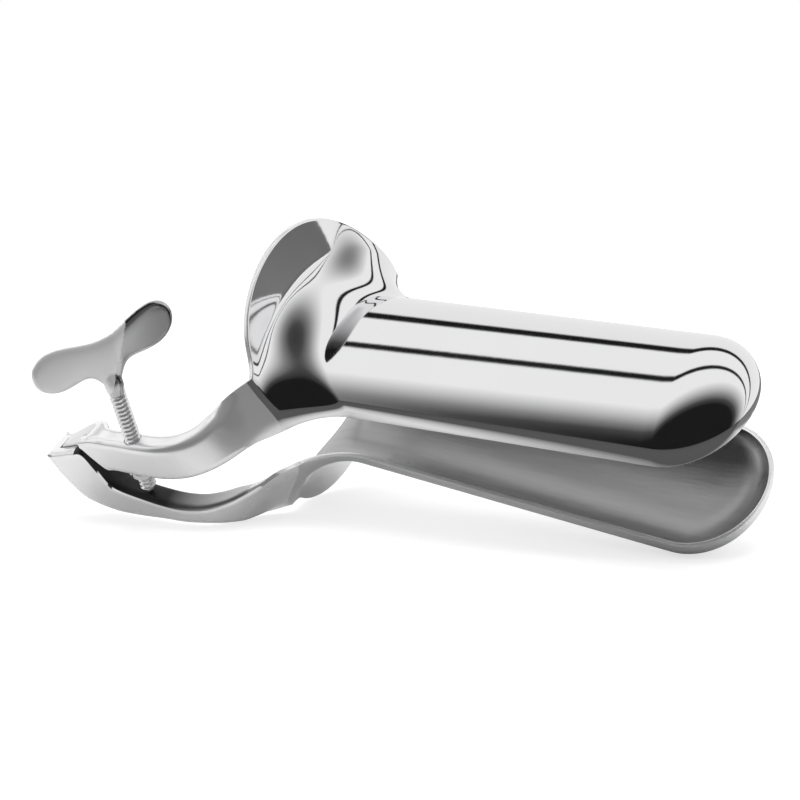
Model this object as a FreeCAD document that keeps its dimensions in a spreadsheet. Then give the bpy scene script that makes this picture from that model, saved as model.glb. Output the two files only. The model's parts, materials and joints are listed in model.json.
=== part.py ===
import FreeCAD, Part
import math
import os

# Collin-pattern bivalve speculum. Each valve is drawn in its own frame:
# x = 0 at the mouth, +x to the blade tip, +y to the far side, z = 0 the plane the rims lie in.
# The arms leave on the near (-y) side and run back to the hinge. All lengths in mm.

os.makedirs("parts", exist_ok=True)
doc = FreeCAD.newDocument("speculum")
Vec = FreeCAD.Vector

sheet = doc.addObject("Spreadsheet::Sheet", "sizes")
values = [
    ("blade_reach", 98.0, "mouth to blade tip"),
    ("blade_half_width", 17.5, "half the blade's width"),
    ("blade_depth", 8.8, "rim plane to crown, outside"),
    ("wall", 1.0, "sheet thickness"),
    ("tip_length", 13.0, "length of the rounded tip"),
    ("blade_start", 21.0, "where the straight trough begins"),
    ("mouth_bend_crown", 10.0, "bend radius at the crown"),
    ("mouth_bend_rim", 14.5, "bend radius at the rims"),
    ("bend_from_crown", 10.5, "start of the bend at the crown"),
    ("bend_from_rim", 19.5, "start of the bend at the rims"),
    ("flange_tilt_crown", 85.0, "final turn of the flange at the crown, degrees"),
    ("flange_tilt_rim", 67.0, "final turn of the flange at the rims, degrees"),
    ("lobe_half_width", 25.3, "half width of the flange lobe"),
    ("lobe_height", 27.6, "height of the flange lobe over the rim plane"),
    ("lobe_offset", 1.5, "lobe centre toward the far side"),
    ("lobe_corner", 9.0, "hollow corner between the lobe and the arm"),
    ("arm_root_y", 23.0, "where the flange hands over to the arm"),
    ("arm_root_height", 11.0, "height of the collar at the arm root"),
    ("lower_root_lean", 0.30, "lower arm's lean out at its root, per mm of height"),
    ("upper_root_lean", 0.44, "upper arm's lean out at its root, per mm of height"),
    ("arm_outer_y", 43.5, "outer face of the arms"),
    ("arm_width", 5.2, "arm width at the screw"),
    ("arm_chamfer", 0.8, "bevel along the arms' edges"),
    ("upper_arm_height", 8.5, "upper arm, rim plane to top"),
    ("lower_arm_height", 5.4, "lower arm, rim plane to underside at the middle"),
    ("fork_start", 22.0, "mouth to where the arm becomes the fork"),
    ("fork_height", 7.3, "rim plane to underside where the fork starts"),
    ("fork_width", 7.6, "both cheeks and the slot"),
    ("tongue_width", 3.0, "tongue of the upper arm"),
    ("slot_clearance", 0.12, "each side of the tongue"),
    ("lower_hinge_x", -34.5, "hinge axis seen from the lower valve"),
    ("lower_hinge_z", 3.8, "hinge axis over the lower rim plane"),
    ("upper_hinge_x", -33.4, "hinge axis seen from the upper valve"),
    ("upper_hinge_z", 0.25, "hinge axis over the upper rim plane"),
    ("tongue_radius", 4.3, "round end of the tongue"),
    ("pin_radius", 1.6, "hinge pin"),
    ("pin_clearance", 0.05, "pin in the tongue"),
    ("rest_opening", 8.0, "angle between the rim planes as photographed"),
    ("screw_x", -17.0, "screw axis where it crosses the upper rim plane"),
    ("screw_tilt", 6.5, "screw top leans toward the blades, degrees"),
    ("screw_radius", 1.7, "over the thread crests"),
    ("thread_top", 18.6, "upper end of the thread along the screw"),
    ("screw_chamfer", 0.4, "bevel above the domed tip"),
    ("screw_stub_radius", 1.15, "end of the screw inside the wings"),
    ("screw_stub_length", 2.6, "its length"),
    ("screw_tip_gap", 0.1, "screw tip over the lower arm"),
    ("screw_hole_clearance", 0.08, "round the screw"),
    ("boss_radius", 3.2, "boss under the upper arm"),
    ("boss_height", 0.7, "boss height"),
    ("wing_lobe_radius", 5.0, "round end of each thumb wing"),
    ("wing_span", 10.4, "screw axis to the centre of a wing lobe"),
    ("wing_centre", 11.6, "wing lobe centre over the thread's upper end"),
    ("wing_waist", 8.2, "height of the wings at the screw"),
    ("wing_plate", 1.7, "thickness of the wings"),
    ("wing_bend", 14.0, "each wing bent out of line, degrees"),
    ("wing_azimuth", 67.0, "wings turned from the blade direction, degrees"),
]
for row, (name, value, note) in enumerate(values, start=1):
    sheet.set("A%d" % row, name)
    sheet.set("B%d" % row, str(value))
    sheet.set("C%d" % row, note)
    sheet.setAlias("B%d" % row, name)
doc.recompute()


class Sizes:
    def __getattr__(self, name):
        return float(sheet.get(name))


s = Sizes()


def bound(obj, **expressions):
    for prop, expression in expressions.items():
        obj.setExpression(prop, expression)
    return obj


def feature(name, shape):
    obj = doc.addObject("Part::Feature", name)
    obj.Shape = shape
    return obj


# Blade: an elliptical trough closed by a quarter ellipsoid, hollowed by the same shape one wall smaller.

acrossX = FreeCAD.Rotation(Vec(1, 1, 1), 120)


def ellipseWire(x, halfWidth, depth):
    ellipse = Part.Ellipse(Vec(0, 0, 0), halfWidth, depth).toShape()
    ellipse.Placement = FreeCAD.Placement(Vec(x, 0, 0), acrossX)
    return Part.Wire([ellipse])


def tipLoft(shrink):
    # a quarter ellipsoid as a loft through its own sections, the last one small enough to close flat
    steps = 10
    start = s.blade_reach - s.tip_length
    wires = []
    for k in range(steps + 1):
        turn = math.radians(90.0 - 85.0 * k / steps)
        wires.append(ellipseWire(start + (s.tip_length - shrink) * math.cos(turn),
                                 (s.blade_half_width - shrink) * math.sin(turn),
                                 (s.blade_depth - shrink) * math.sin(turn)))
    return Part.makeLoft(wires, True, True)


def bladeCore(label, shrink, start):
    ellipse = doc.addObject("Part::Ellipse", label + "_ellipse")
    ellipse.Placement.Rotation = acrossX
    bound(ellipse, MajorRadius="sizes.blade_half_width - %s" % shrink,
          MinorRadius="sizes.blade_depth - %s" % shrink)
    ellipse.setExpression("Placement.Base.x", "sizes.blade_start - %s" % start)
    trough = doc.addObject("Part::Extrusion", label + "_trough")
    trough.Base = ellipse
    trough.DirMode = "Custom"
    trough.Dir = Vec(1, 0, 0)
    trough.Solid = True
    bound(trough, LengthFwd="sizes.blade_reach - sizes.tip_length - sizes.blade_start + %s" % start)
    core = doc.addObject("Part::MultiFuse", label + "_core")
    core.Shapes = [trough, feature(label + "_tip", tipLoft(s.wall if shrink != "0" else 0.0))]
    return core


def makeBlade(label):
    shell = doc.addObject("Part::Cut", label + "_shell")
    shell.Base = bladeCore(label + "_outer", "0", "0")
    shell.Tool = bladeCore(label + "_inner", "sizes.wall", "5 * sizes.wall")
    above = doc.addObject("Part::Box", label + "_above")
    above.setExpression("Placement.Base.y", "-2 * sizes.blade_half_width")
    bound(above, Length="sizes.blade_reach + sizes.wall", Width="4 * sizes.blade_half_width",
          Height="2 * sizes.blade_depth")
    blade = doc.addObject("Part::Cut", label)
    blade.Base = shell
    blade.Tool = above
    return blade


# Mouth flange: the trough's wall bends outward, tightly at the crown and wider at the rims.

def bendAt(angle):
    # how far the section at this angle has gone from the crown's bend to the rim's
    mix = math.cos(angle) ** 4
    radius = s.mouth_bend_crown + (s.mouth_bend_rim - s.mouth_bend_crown) * mix
    start = s.bend_from_crown + (s.bend_from_rim - s.bend_from_crown) * mix
    tilt = math.radians(s.flange_tilt_crown + (s.flange_tilt_rim - s.flange_tilt_crown) * mix)
    return radius, start, tilt


def flangePoint(angle, along):
    side = math.cos(angle)
    drop = math.sin(angle)
    radius, start, tilt = bendAt(angle)
    grow = along - (s.blade_start - start)
    if grow < 0:
        x = start - grow
        out = 0.0
    elif grow < radius * tilt:
        turn = grow / radius
        x = start - radius * math.sin(turn)
        out = radius * (1 - math.cos(turn))
    else:
        extra = grow - radius * tilt
        x = start - radius * math.sin(tilt) - extra * math.cos(tilt)
        out = radius * (1 - math.cos(tilt)) + extra * math.sin(tilt)
    normal = Vec(0, side * s.blade_depth, -drop * s.blade_half_width).normalize()
    return Vec(x, side * s.blade_half_width + normal.y * out, -drop * s.blade_depth + normal.z * out)


def flangeNormal(angle, along):
    step = 0.01
    around = flangePoint(angle + step, along) - flangePoint(angle - step, along)
    ahead = flangePoint(angle, along + step) - flangePoint(angle, along - step)
    normal = ahead.cross(around).normalize()
    outward = Vec(1, math.cos(angle), -math.sin(angle))
    return normal if normal.dot(outward) > 0 else normal * -1


def flangeRows(angle):
    # distances along the wall: the blade's end, the start of the bend, steps round it and past the outline
    radius, start, tilt = bendAt(angle)
    steps = 8
    begin = s.blade_start - start
    sideReach = s.lobe_half_width + s.lobe_offset - s.blade_half_width
    crownReach = s.lobe_height - s.blade_depth
    reach = sideReach + (crownReach - sideReach) * math.sin(angle) ** 2
    past = max(reach - radius * (1 - math.cos(tilt)), 0.0) + 0.25 * s.lobe_half_width
    rows = [0.0] + [begin + radius * tilt * k / steps for k in range(steps + 1)]
    return rows + [rows[-1] + past]


def flangeCurve(row, inset):
    columns = 24
    points = []
    for j in range(columns + 1):
        angle = math.pi * j / columns
        along = flangeRows(angle)[row]
        point = flangePoint(angle, along)
        normal = flangeNormal(angle, along)
        if j in (0, columns):
            flat = Vec(normal.x, normal.y, 0)
            point = point - flat * (inset / flat.dot(flat))
            point.z = 0.0
        else:
            point = point - normal * inset
        if row == 0:
            point.x = s.blade_start
        points.append(point)
    curve = Part.BSplineCurve()
    curve.interpolate(points)
    return curve, points[0], points[-1]


def flangeSheet():
    wires = []
    caps = []
    last = len(flangeRows(0.0)) - 1
    for row in range(last + 1):
        outer, near, far = flangeCurve(row, 0.0)
        inner, innerNear, innerFar = flangeCurve(row, s.wall)
        wires.append(Part.Wire([outer.toShape(), Part.makeLine(far, innerFar), inner.toShape(),
                                Part.makeLine(innerNear, near)]))
        if row in (0, last):
            caps.append(Part.makeRuledSurface(outer.toShape(), inner.toShape()))
    shell = Part.makeShell(Part.makeLoft(wires, False, True).Faces + caps)
    shell.sewShape()
    solid = Part.makeSolid(shell)
    if solid.Volume < 0:
        solid.reverse()
    return solid


def lobeOutline():
    # an ellipse, a hollow corner arc on the near side and the straight collar that the arm leaves from
    wide = s.lobe_half_width
    high = s.lobe_height
    corner = s.lobe_corner

    def onEllipse(turn):
        return Vec(0, s.lobe_offset - wide * math.cos(turn), -high * math.sin(turn))

    def cornerCentre(turn):
        normal = Vec(0, -high * math.cos(turn), -wide * math.sin(turn)).normalize()
        return onEllipse(turn) + normal * corner

    collar = Vec(0, -s.arm_root_y, -s.arm_root_height)
    low = 0.3
    top = 1.4
    for step in range(50):
        turn = 0.5 * (low + top)
        if (cornerCentre(turn) - collar).Length < corner:
            low = turn
        else:
            top = turn
    centre = cornerCentre(turn)
    touch = onEllipse(turn)
    middle = centre + ((touch - centre).normalize() + (collar - centre).normalize()).normalize() * corner
    lobe = Part.BSplineCurve()
    turns = [turn + (math.pi - turn) * k / 10 for k in range(11)]
    lobe.interpolate([onEllipse(t) for t in turns])
    lift = Vec(0, 0, 0.2 * high)
    start = Vec(0, -s.arm_root_y, lift.z)
    edges = [Part.makeLine(start, collar), Part.Arc(collar, middle, touch).toShape(), lobe.toShape(),
             Part.makeLine(onEllipse(math.pi), onEllipse(math.pi) + lift),
             Part.makeLine(onEllipse(math.pi) + lift, start)]
    face = Part.Face(Part.Wire(edges))
    face.translate(Vec(-high, 0, 0))
    return face.extrude(Vec(3 * high, 0, 0))


def makeFlange():
    high = s.lobe_height
    keep = Part.makeBox(3 * high, 4 * s.lobe_half_width, 2 * high, Vec(-high, -s.arm_root_y, -2 * high))
    flange = flangeSheet().common(lobeOutline()).common(keep)
    return flange.Solids[0]


# Arms: rounded bars along one plan curve, from the flange's near edge to the hinge.

def barSection(outerPoint, heading, width, low, high, lean):
    across = Vec(heading.y, -heading.x, 0).normalize()
    inward = across * -1 if across.dot(Vec(1, -1, 0)) > 0 else across
    cut = min(s.arm_chamfer, 0.4 * width)
    ring = [(cut, low), (width - cut, low), (width, low + cut), (width, high - cut),
            (width - cut, high), (cut, high), (0, high - cut), (0, low + cut)]
    corners = [outerPoint + inward * (a + abs(b) * lean) + Vec(0, 0, b) for a, b in ring]
    return Part.makePolygon(corners + corners[:1])


def blend(knots, values, at):
    k = 0
    while k < len(knots) - 2 and at > knots[k + 1]:
        k += 1
    span = knots[k + 1] - knots[k]
    slopes = []
    for j in (k, k + 1):
        lo = max(j - 1, 0)
        hi = min(j + 1, len(knots) - 1)
        slopes.append((values[hi] - values[lo]) / (knots[hi] - knots[lo]))
    f = (at - knots[k]) / span
    return ((2 * f ** 3 - 3 * f ** 2 + 1) * values[k] + (f ** 3 - 2 * f ** 2 + f) * span * slopes[0]
            + (3 * f ** 2 - 2 * f ** 3) * values[k + 1] + (f ** 3 - f ** 2) * span * slopes[1])


def armBar(heights, rootLean):
    y = s.arm_outer_y
    root = s.arm_root_y
    rootX = rimX(root)
    run = y - root
    end = -s.fork_start
    # x, y, width, lean of the section, then low and high edge
    spots = [
        (rootX, -root, s.wall * 1.4, rootLean),
        (rootX - 0.12 * run, -root - 0.26 * run, s.wall * 2.3, 1.13 * rootLean),
        (rootX - 0.23 * run, -root - 0.54 * run, s.arm_width * 0.7, 0.6 * rootLean),
        (rootX - 0.35 * run, -root - 0.76 * run, s.arm_width * 0.88, 0.0),
        (rootX - 0.50 * run, -root - 0.91 * run, s.arm_width, 0.0),
        (rootX - 0.68 * run, -root - 0.975 * run, s.arm_width, 0.0),
        (0.59 * end, -y, s.arm_width, 0.0),
        (end, -y, s.arm_width, 0.0),
    ]
    rows = [list(spot) + list(pair) for spot, pair in zip(spots, heights)]
    along = [0.0]
    for first, second in zip(rows, rows[1:]):
        along.append(along[-1] + math.hypot(second[0] - first[0], second[1] - first[1]))
    columns = list(zip(*rows))
    wires = []
    count = 16
    for k in range(count + 1):
        at = along[-1] * k / count
        x, yy, width, lean, low, high = [blend(along, column, at) for column in columns]
        before = max(at - 0.05, 0.0)
        after = min(at + 0.05, along[-1])
        dx = blend(along, columns[0], after) - blend(along, columns[0], before)
        dy = blend(along, columns[1], after) - blend(along, columns[1], before)
        heading = Vec(dx, dy, 0)
        if k == 0:
            heading = Vec(0, -1, 0)
        if k == count:
            heading = Vec(-1, 0, 0)
        wires.append(barSection(Vec(x, yy, 0), heading, width, low, high, lean))
    return Part.makeLoft(wires, True, True)


def rimX(y):
    point = flangePoint(math.pi, 0.0)
    along = 0.0
    while point.y > -y and along < 2 * s.arm_outer_y:
        along += 0.1
        point = flangePoint(math.pi, along)
    return point.x


def sideProfile(points, near, width):
    wire = Part.makePolygon([Vec(x, near, z) for x, z in points + points[:1]])
    return Part.Face(wire).extrude(Vec(0, width, 0))


def pinHole(x, z, radius):
    return Part.makeCylinder(radius, 3 * s.fork_width, Vec(x, -s.arm_outer_y - s.fork_width, z), Vec(0, 1, 0))


def aroundHinge(x, z, shares):
    # side-view points counted from the hinge axis in tongue radii
    return [(x + a * s.tongue_radius, z + b * s.tongue_radius) for a, b in shares]


def makeLowerArm():
    h = s.lower_arm_height
    top = s.arm_root_height
    heights = [(-top, 0), (-top * 0.84, 0), (-top * 0.74, 0), (-top * 0.62, 0), (-h * 1.04, 0),
               (-h, 0), (-h * 1.06, 0), (-s.fork_height, 0)]
    bar = armBar(heights, s.lower_root_lean)
    y = s.arm_outer_y
    hx = s.lower_hinge_x
    hz = s.lower_hinge_z
    upperEdge = [(2.30, -0.80), (1.77, -0.58), (1.21, 0.23), (0.65, 1.07)]
    heel = [(-1.56, 0.09), (-1.28, -0.74), (-0.81, -1.49), (-0.05, -2.33), (0.74, -2.56), (1.98, -2.65)]
    profile = [(-s.fork_start, 0.0)] + aroundHinge(hx, hz, upperEdge + heel) + [(-s.fork_start, -s.fork_height)]
    cheeks = sideProfile(profile, -y, s.fork_width)
    inside = s.fork_width - s.arm_width
    waist = Part.makeBox(3 * s.tongue_radius, inside, 5 * s.fork_height,
                         Vec(hx + 1.75 * s.tongue_radius, -y + s.arm_width, -3 * s.fork_height))
    cheeks = cheeks.cut(waist)
    slot = s.tongue_width + 2 * s.slot_clearance
    slotStart = -y + 0.5 * (s.fork_width - slot)
    room = Part.makeCylinder(1.12 * s.tongue_radius, slot, Vec(hx, slotStart, hz), Vec(0, 1, 0))
    rays = [(0, 0)]
    for angle in (-20, 20, 60, 90, 118):
        turn = math.radians(angle)
        rays.append((5 * math.cos(turn), 5 * math.sin(turn)))
    wedge = aroundHinge(hx, hz, rays)
    room = room.fuse(sideProfile(wedge, slotStart, slot))
    cheeks = cheeks.cut(room)
    arm = bar.fuse(cheeks).removeSplitter()
    return arm.cut(pinHole(hx, hz, s.pin_radius))


def makeUpperArm():
    h = s.upper_arm_height
    top = s.arm_root_height
    heights = [(0, top), (0, top * 0.84), (0, top * 0.82), (0, h * 1.06), (0, h * 1.05), (0, h), (0, h), (0, h)]
    bar = armBar(heights, s.upper_root_lean)
    y = s.arm_outer_y
    hx = s.upper_hinge_x
    hz = s.upper_hinge_z
    knuckle = [(1.44, 0.43), (0.93, 1.08), (0.98, 1.87), (1.49, 2.17)]
    profile = aroundHinge(hx, hz, [(2.05, -0.10)] + knuckle + [(2.07, 2.08)])
    block = sideProfile([(-s.fork_start, 0.0)] + profile + [(-s.fork_start, h)], -y, s.arm_width)
    shoulder = [(1.58, 0.31)] + knuckle[1:3] + [(1.49, 2.13)]
    block = block.fuse(sideProfile(aroundHinge(hx, hz, shoulder), -y, s.fork_width))
    tongueStart = -y + 0.5 * (s.fork_width - s.tongue_width)
    r = s.tongue_radius
    tongue = Part.makeCylinder(r, s.tongue_width, Vec(hx, tongueStart, hz), Vec(0, 1, 0))
    neck = [(0.55, -0.835), (1.67, 0.27), (1.84, 1.69), (1.12, 1.78), (-0.35, 0.937)]
    tongue = tongue.fuse(sideProfile(aroundHinge(hx, hz, neck), tongueStart, s.tongue_width))
    arm = bar.fuse(block).fuse(tongue).removeSplitter()
    boss = onScrewAxis(Part.makeCylinder(s.boss_radius, s.boss_height + s.wall, Vec(0, 0, -s.boss_height)))
    boss = boss.common(Part.makeBox(2 * h, s.arm_width, 2 * h, Vec(s.screw_x - h, -y, -h)))
    hole = onScrewAxis(Part.makeCylinder(s.screw_radius + s.screw_hole_clearance, 4 * h, Vec(0, 0, -2 * h)))
    arm = arm.fuse(boss).cut(hole)
    return arm.cut(pinHole(hx, hz, s.pin_radius + s.pin_clearance))


# Hinge pin: riveted flush with both cheeks.

def makePin():
    y = s.arm_outer_y
    pin = doc.addObject("Part::Cylinder", "hinge_pin")
    bound(pin, Radius="sizes.pin_radius", Height="sizes.fork_width")
    pin.Placement = FreeCAD.Placement(Vec(s.lower_hinge_x, -y, s.lower_hinge_z), FreeCAD.Rotation(Vec(1, 0, 0), -90))
    return pin


# Screw: drawn along z, then set on its axis in the upper valve's frame.

def onScrewAxis(shape):
    seat = Vec(s.screw_x, -s.arm_outer_y + 0.5 * s.arm_width, 0)
    shape.Placement = FreeCAD.Placement(seat, FreeCAD.Rotation(Vec(0, 1, 0), s.screw_tilt))
    return shape


def tipHeight():
    # the domed tip stands one gap over the lower arm's top
    turn = math.radians(s.rest_opening)
    lean = math.radians(s.screw_tilt)
    dome = s.screw_radius - s.screw_chamfer
    room = s.screw_tip_gap + dome - s.lower_hinge_z + s.upper_hinge_z * math.cos(turn)
    room -= (s.screw_x - s.upper_hinge_x) * math.sin(turn)
    return room / math.cos(turn - lean) - dome


def makeSpindle():
    r = s.screw_radius
    stub = s.screw_stub_radius
    low = tipHeight()
    dome = r - s.screw_chamfer
    top = s.thread_top
    half = math.sqrt(0.5) * dome
    edges = [Part.Arc(Vec(0, 0, low), Vec(half, 0, low + dome - half), Vec(dome, 0, low + dome)).toShape()]
    line = [(dome, low + dome), (r, low + dome + s.screw_chamfer), (r, top), (stub, top),
            (stub, top + s.screw_stub_length), (0, top + s.screw_stub_length), (0, low)]
    for (r0, z0), (r1, z1) in zip(line, line[1:]):
        edges.append(Part.makeLine(Vec(r0, 0, z0), Vec(r1, 0, z1)))
    face = Part.Face(Part.Wire(edges))
    return onScrewAxis(face.revolve(Vec(0, 0, 0), Vec(0, 0, 1), 360))


def wingHalf():
    r = s.wing_lobe_radius
    span = s.wing_span
    half = 0.5 * s.wing_waist
    near = 0.5
    lobe = Part.makeCylinder(r, s.wing_plate, Vec(span, 0.5 * s.wing_plate, 0), Vec(0, -1, 0))
    top = Part.Arc(Vec(-near, 0, half), Vec(0.45 * span, 0, half + 0.05), Vec(span, 0, r)).toShape()
    end = Part.makeLine(Vec(span, 0, r), Vec(span, 0, -r))
    under = Part.Arc(Vec(span, 0, -r), Vec(0.4 * span, 0, 0.25 - half), Vec(-near, 0, -half - 1.2)).toShape()
    back = Part.makeLine(Vec(-near, 0, -half - 1.2), Vec(-near, 0, half))
    web = Part.Face(Part.Wire([top, end, under, back]))
    web.translate(Vec(0, 0.5 * s.wing_plate, 0))
    return lobe.fuse(web.extrude(Vec(0, -s.wing_plate, 0))).removeSplitter()


def makeWings():
    right = wingHalf()
    left = wingHalf()
    right.rotate(Vec(0, 0, 0), Vec(0, 0, 1), s.wing_bend)
    left.rotate(Vec(0, 0, 0), Vec(0, 0, 1), 180 - s.wing_bend)
    foot = s.wing_centre
    neck = [(0, -foot + 0.05), (1.7, -foot + 0.05), (1.75, -foot + 1.0), (2.1, -foot + 2.6),
            (2.7, -foot + 4.3), (2.2, -foot + 6.4), (0.9, -foot + 9.5), (0, -foot + 9.5)]
    wire = Part.makePolygon([Vec(r, 0, z) for r, z in neck + neck[:1]])
    column = Part.Face(wire).revolve(Vec(0, 0, 0), Vec(0, 0, 1), 360)
    wings = right.fuse(left).fuse(column).removeSplitter()
    socket = Part.makeCylinder(s.screw_stub_radius + 0.05, s.screw_stub_length + 0.15, Vec(0, 0, -foot))
    wings = wings.cut(socket)
    wings.rotate(Vec(0, 0, 0), Vec(0, 0, 1), s.wing_azimuth)
    wings.translate(Vec(0, 0, s.thread_top + s.wing_centre))
    solid = Part.makeCompound([wings])
    return onScrewAxis(solid).Solids[0]


def flipped(shape):
    return shape.mirror(Vec(0, 0, 0), Vec(0, 0, 1))


nodes = {}
nodes["lower_blade"] = makeBlade("lower_blade")
upperBlade = makeBlade("upper_half")
turned = doc.addObject("Part::Mirroring", "upper_blade")
turned.Source = upperBlade
turned.Base = Vec(0, 0, 0)
turned.Normal = Vec(0, 0, 1)
nodes["upper_blade"] = turned
doc.recompute()
flange = makeFlange()
nodes["lower_flange"] = feature("lower_flange", flange)
nodes["upper_flange"] = feature("upper_flange", flipped(flange))
nodes["lower_arm"] = feature("lower_arm", makeLowerArm())
nodes["upper_arm"] = feature("upper_arm", makeUpperArm())
nodes["hinge_pin"] = makePin()
nodes["spread_screw"] = feature("spread_screw", makeSpindle())
nodes["thumb_wings"] = feature("thumb_wings", makeWings())
doc.recompute()


# Resting attitude: the lower valve lies on its flange lobe, its arm and the near edge of its tip.

def restRotation(shapes):
    points = []
    for shape in shapes:
        points += shape.tessellate(0.05)[0]
    groups = [[p for p in points if p.x < s.blade_start and p.z < -0.6 * s.lobe_height],
              [p for p in points if p.x > 0.6 * s.blade_reach],
              [p for p in points if p.x < -0.5 * s.fork_start]]
    up = Vec(-0.185, 0.61, 0.77)
    for step in range(30):
        a, b, c = [min(group, key=lambda p: p.dot(up)) for group in groups]
        normal = (b - a).cross(c - a).normalize()
        if normal.z < 0:
            normal = normal * -1
        if (normal - up).Length < 1e-9:
            break
        up = normal
    side = up.cross(Vec(1, 0, 0)).normalize()
    ahead = side.cross(up)
    matrix = FreeCAD.Matrix(ahead.x, ahead.y, ahead.z, 0, side.x, side.y, side.z, 0, up.x, up.y, up.z, 0, 0, 0, 0, 1)
    return FreeCAD.Placement(matrix)


rest = restRotation([nodes[n].Shape for n in ("lower_blade", "lower_flange", "lower_arm")])
hinge = Vec(s.lower_hinge_x, 0, s.lower_hinge_z)
opening = FreeCAD.Rotation(Vec(0, 1, 0), -s.rest_opening)
upperHinge = Vec(s.upper_hinge_x, 0, s.upper_hinge_z)
opened = FreeCAD.Placement(hinge - opening.multVec(upperHinge), opening)

upperNodes = ("upper_blade", "upper_flange", "upper_arm", "spread_screw", "thumb_wings")


def restShape(name, placement):
    shape = nodes[name].Shape.copy()
    frame = placement.multiply(opened) if name in upperNodes else placement
    shape.Placement = frame.multiply(shape.Placement)
    return shape


box = FreeCAD.BoundBox()
for name in nodes:
    for point in restShape(name, rest).tessellate(0.02)[0]:
        box.add(point)
rest = FreeCAD.Placement(Vec(-box.Center.x, -box.Center.y, -box.ZMin), FreeCAD.Rotation()).multiply(rest)

for name, obj in nodes.items():
    frame = rest.multiply(opened) if name in upperNodes else rest
    obj.Placement = frame.multiply(obj.Placement)
doc.recompute()

for obj in doc.Objects:
    bad = [state for state in obj.State if state in ("Invalid", "Error")]
    if bad:
        raise RuntimeError("%s is %s" % (obj.Name, bad))
for name, obj in nodes.items():
    shape = obj.Shape
    if shape.isNull() or not shape.isValid() or len(shape.Solids) != 1:
        raise RuntimeError("%s has a bad shape: %d solids" % (name, len(shape.Solids)))
    shape.exportStep("parts/%s.step" % name)
    print(name, "volume %.1f mm3" % shape.Volume)

axis = rest.Rotation.multVec(Vec(0, 1, 0))
print("rest", rest.Matrix.A)
print("hinge at", rest.multVec(hinge + Vec(0, -s.arm_outer_y + 0.5 * s.fork_width, 0)), "axis", axis)
screwFrame = rest.multiply(opened)
seat = Vec(s.screw_x, -s.arm_outer_y + 0.5 * s.arm_width, 0)
lean = FreeCAD.Rotation(Vec(0, 1, 0), s.screw_tilt).multVec(Vec(0, 0, 1))
print("screw at", screwFrame.multVec(seat + lean * s.thread_top), "axis", screwFrame.Rotation.multVec(lean))
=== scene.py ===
import json
import math
import bmesh
import bpy
from mathutils import Matrix, Vector


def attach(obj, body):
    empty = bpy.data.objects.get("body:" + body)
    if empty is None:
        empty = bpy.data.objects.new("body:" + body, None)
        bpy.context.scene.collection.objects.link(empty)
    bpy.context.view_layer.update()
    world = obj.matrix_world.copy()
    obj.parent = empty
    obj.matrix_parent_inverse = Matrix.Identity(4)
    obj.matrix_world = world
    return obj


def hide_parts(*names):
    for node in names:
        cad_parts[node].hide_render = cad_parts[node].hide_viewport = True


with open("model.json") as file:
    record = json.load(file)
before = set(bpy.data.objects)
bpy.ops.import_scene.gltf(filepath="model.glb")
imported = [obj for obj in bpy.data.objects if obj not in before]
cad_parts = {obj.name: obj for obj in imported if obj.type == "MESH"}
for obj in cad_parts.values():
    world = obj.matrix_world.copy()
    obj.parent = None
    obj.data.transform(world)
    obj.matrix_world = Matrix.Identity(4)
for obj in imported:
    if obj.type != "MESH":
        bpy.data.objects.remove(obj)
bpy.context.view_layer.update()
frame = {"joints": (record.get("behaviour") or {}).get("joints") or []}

scene = bpy.context.scene
scene.view_settings.view_transform = "Standard"
print("frame loaded")

# Everything on a valve is drawn in millimetres in that valve's own frame:
# x from the mouth to the tip, y across, z = 0 the plane the rims lie in, the trough below it.

hingeSpot = {"y": -39.7, "lowerX": -34.5, "lowerZ": 3.8, "upperX": -33.4, "upperZ": 0.25, "opening": 8.0}

joints = {joint["name"]: joint for joint in frame["joints"]}
acrossAxis = -Vector(joints["blade_open"]["axis"]).normalized()
bladeAxis = Vector((acrossAxis.z, 0, -acrossAxis.x)).normalized()
liftAxis = bladeAxis.cross(acrossAxis)
turnToRow = Matrix((bladeAxis, acrossAxis, liftAxis)).transposed()
lowerHinge = Vector((hingeSpot["lowerX"], hingeSpot["y"], hingeSpot["lowerZ"]))
upperHinge = Vector((hingeSpot["upperX"], hingeSpot["y"], hingeSpot["upperZ"]))
origin = Vector(joints["blade_open"]["pos_m"]) - turnToRow @ lowerHinge * 0.001
lowerPlace = Matrix.Translation(origin) @ turnToRow.to_4x4() @ Matrix.Scale(0.001, 4)
openTurn = Matrix.Rotation(-math.radians(hingeSpot["opening"]), 4, "Y")
upperPlace = lowerPlace @ Matrix.Translation(lowerHinge) @ openTurn @ Matrix.Translation(-upperHinge)
turnOver = Matrix.Scale(-1, 4, Vector((0, 0, 1)))


# Shader sums as plain expressions

class Socket:
    def __init__(self, tree, link):
        self.tree = tree
        self.link = link

    def math(self, operation, other=0.0, swap=False):
        node = self.tree.nodes.new("ShaderNodeMath")
        node.operation = operation
        pair = (other, self) if swap else (self, other)
        for slot, value in zip(node.inputs, pair):
            feed(self.tree, slot, value)
        return Socket(self.tree, node.outputs[0])

    def __add__(self, other):
        return self.math("ADD", other)

    def __radd__(self, other):
        return self.math("ADD", other, True)

    def __sub__(self, other):
        return self.math("SUBTRACT", other)

    def __rsub__(self, other):
        return self.math("SUBTRACT", other, True)

    def __mul__(self, other):
        return self.math("MULTIPLY", other)

    def __rmul__(self, other):
        return self.math("MULTIPLY", other, True)


def feed(tree, slot, value):
    if isinstance(value, Socket):
        tree.links.new(value.link, slot)
    else:
        slot.default_value = value


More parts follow.
